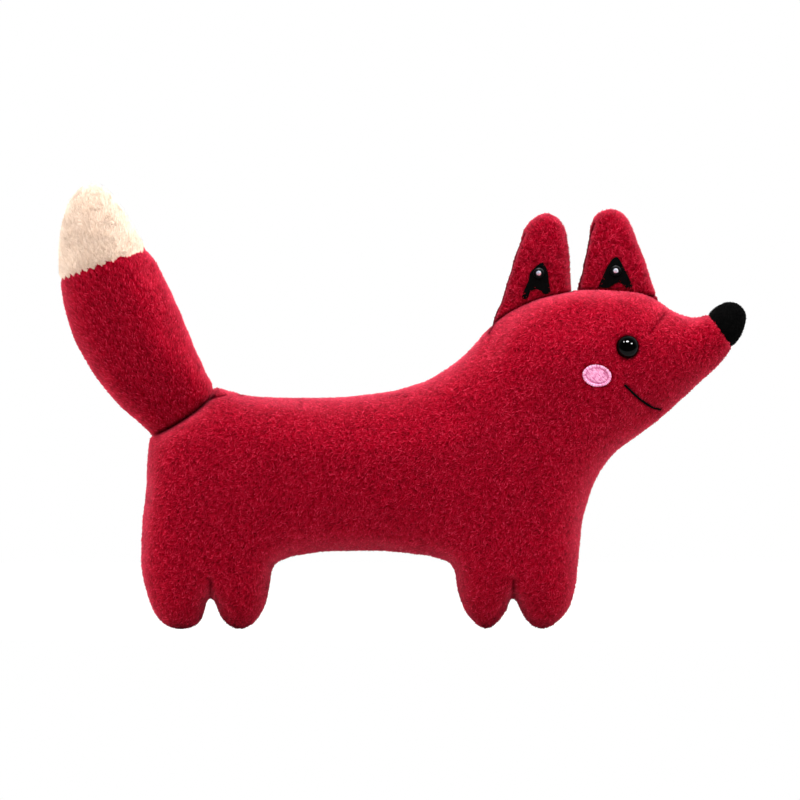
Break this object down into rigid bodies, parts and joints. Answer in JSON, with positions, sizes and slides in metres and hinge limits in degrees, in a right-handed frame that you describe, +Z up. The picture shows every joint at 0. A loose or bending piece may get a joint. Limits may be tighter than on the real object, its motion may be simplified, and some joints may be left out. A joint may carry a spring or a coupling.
{
  "type": "plush fox toy",
  "caption": "Stuffed fox toy of short pile cloth in flat profile form, standing on stub legs, with a raised tail, upright ears, safety eyes and stitched cheeks.",
  "frame": {"origin": "on the floor, under the centre of the toy's bounding box", "axes": "+X towards the nose, +Y towards the toy's left side, +Z up; the picture looks along +Y"},
  "size_m": [0.3783, 0.0742, 0.244],
  "materials": {
    "red_plush": "short red pile cloth",
    "cream_plush": "short cream pile cloth",
    "black_plush": "short black pile cloth",
    "fibre": "loose polyester fibre",
    "black_felt": "thin black felt",
    "pink_thread": "satin embroidery thread",
    "black_thread": "embroidery thread",
    "black_plastic": "polished black",
    "white_plastic": "moulded, unpainted",
    "crystal": "clear and faceted"
  },
  "bodies": {
    "body": {"torso_cover": "red_plush", "head_cover": "red_plush", "nose_cover": "black_plush", "body_stuffing": "fibre", "hind_leg_back_cover": "red_plush", "hind_leg_front_cover": "red_plush", "fore_leg_back_cover": "red_plush", "fore_leg_front_cover": "red_plush", "eye_right": "black_plastic", "eye_washer_right": "white_plastic", "cheek_right": "pink_thread", "mouth_right": "black_thread", "eye_left": "black_plastic", "eye_washer_left": "white_plastic", "cheek_left": "pink_thread", "mouth_left": "black_thread"},
    "tail": {"tail_cover": "red_plush", "tail_tip_cover": "cream_plush", "tail_stuffing": "fibre"},
    "ear_rear": {"ear_rear_wadding": "fibre", "ear_rear_panel_right": "red_plush", "ear_rear_patch_right": "black_felt", "ear_rear_bead_right_setting": "black_plastic", "ear_rear_bead_right_crystal": "crystal", "ear_rear_panel_left": "red_plush", "ear_rear_patch_left": "black_felt", "ear_rear_bead_left_setting": "black_plastic", "ear_rear_bead_left_crystal": "crystal"},
    "ear_front": {"ear_front_wadding": "fibre", "ear_front_panel_right": "red_plush", "ear_front_patch_right": "black_felt", "ear_front_bead_right_setting": "black_plastic", "ear_front_bead_right_crystal": "crystal", "ear_front_panel_left": "red_plush", "ear_front_patch_left": "black_felt", "ear_front_bead_left_setting": "black_plastic", "ear_front_bead_left_crystal": "crystal"}
  },
  "joints": [
    {"name": "tail_fold", "type": "hinge", "parent": "body", "child": "tail", "pos_m": [-0.12108, 0, 0.11446], "axis": [-0.8012, 0, -0.5984], "range_deg": [-25, 25], "stiffness_Nm_per_rad": 0.15},
    {"name": "ear_rear_fold", "type": "hinge", "parent": "body", "child": "ear_rear", "pos_m": [0.07074, 0, 0.18241], "axis": [-0.933, 0, -0.3598], "range_deg": [-20, 20], "stiffness_Nm_per_rad": 0.02},
    {"name": "ear_front_fold", "type": "hinge", "parent": "body", "child": "ear_front", "pos_m": [0.11818, 0, 0.1859], "axis": [-0.9921, 0, 0.1253], "range_deg": [-20, 20], "stiffness_Nm_per_rad": 0.02}
  ]
}
